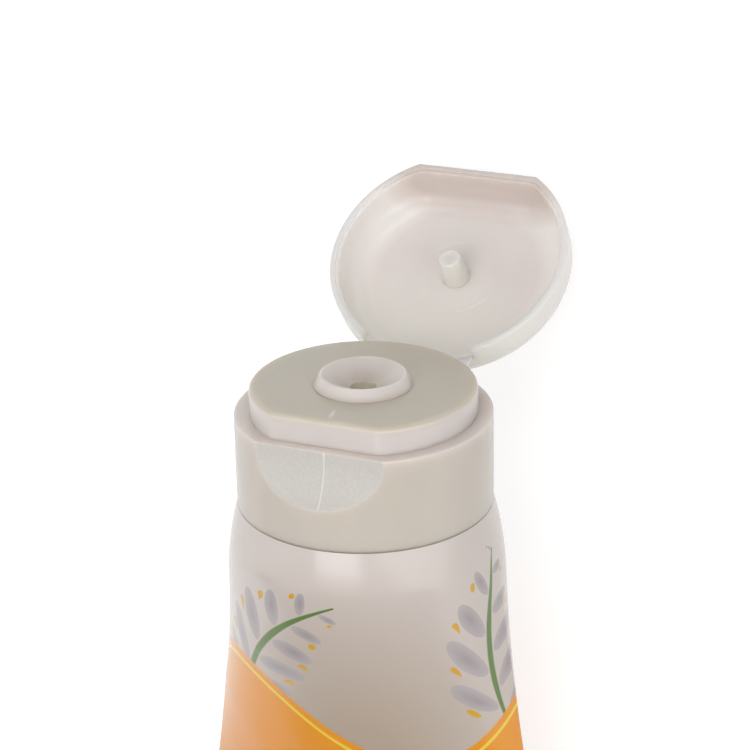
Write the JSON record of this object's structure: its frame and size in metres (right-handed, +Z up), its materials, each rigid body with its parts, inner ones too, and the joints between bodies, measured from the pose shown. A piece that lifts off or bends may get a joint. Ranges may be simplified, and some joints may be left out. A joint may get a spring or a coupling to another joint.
{
  "type": "sunscreen tube",
  "caption": "Soft squeeze tube with a crimped tail and an open flip-top cap with a nozzle, lying on its back; the lid turns on its hinge.",
  "frame": {"origin": "on the surface the tube lies on, under the middle of its bounding box", "axes": "+Y from the crimped tail to the cap, +X to the right seen from above with the cap pointing away, +Z up through the thumb scoop's side"},
  "size_m": [0.0684, 0.1512, 0.0604],
  "materials": {
    "sleeve": "white soft polyethylene with coloured print, softly glossy",
    "head": "plain moulded polyethylene",
    "cap": "milky polypropylene, moulded, slightly translucent",
    "cream": "thick white cream"
  },
  "bodies": {
    "tube": {"tube_sleeve": "sleeve", "tube_head": "head", "cap_base": "cap", "cream": "cream"},
    "lid": {"lid": "cap"}
  },
  "joints": [
    {"name": "lid_hinge", "type": "hinge", "parent": "tube", "child": "lid", "pos_m": [0, 0.0441, 0.02607], "axis": [1, 0, 0], "range_deg": [-16, 144]}
  ]
}
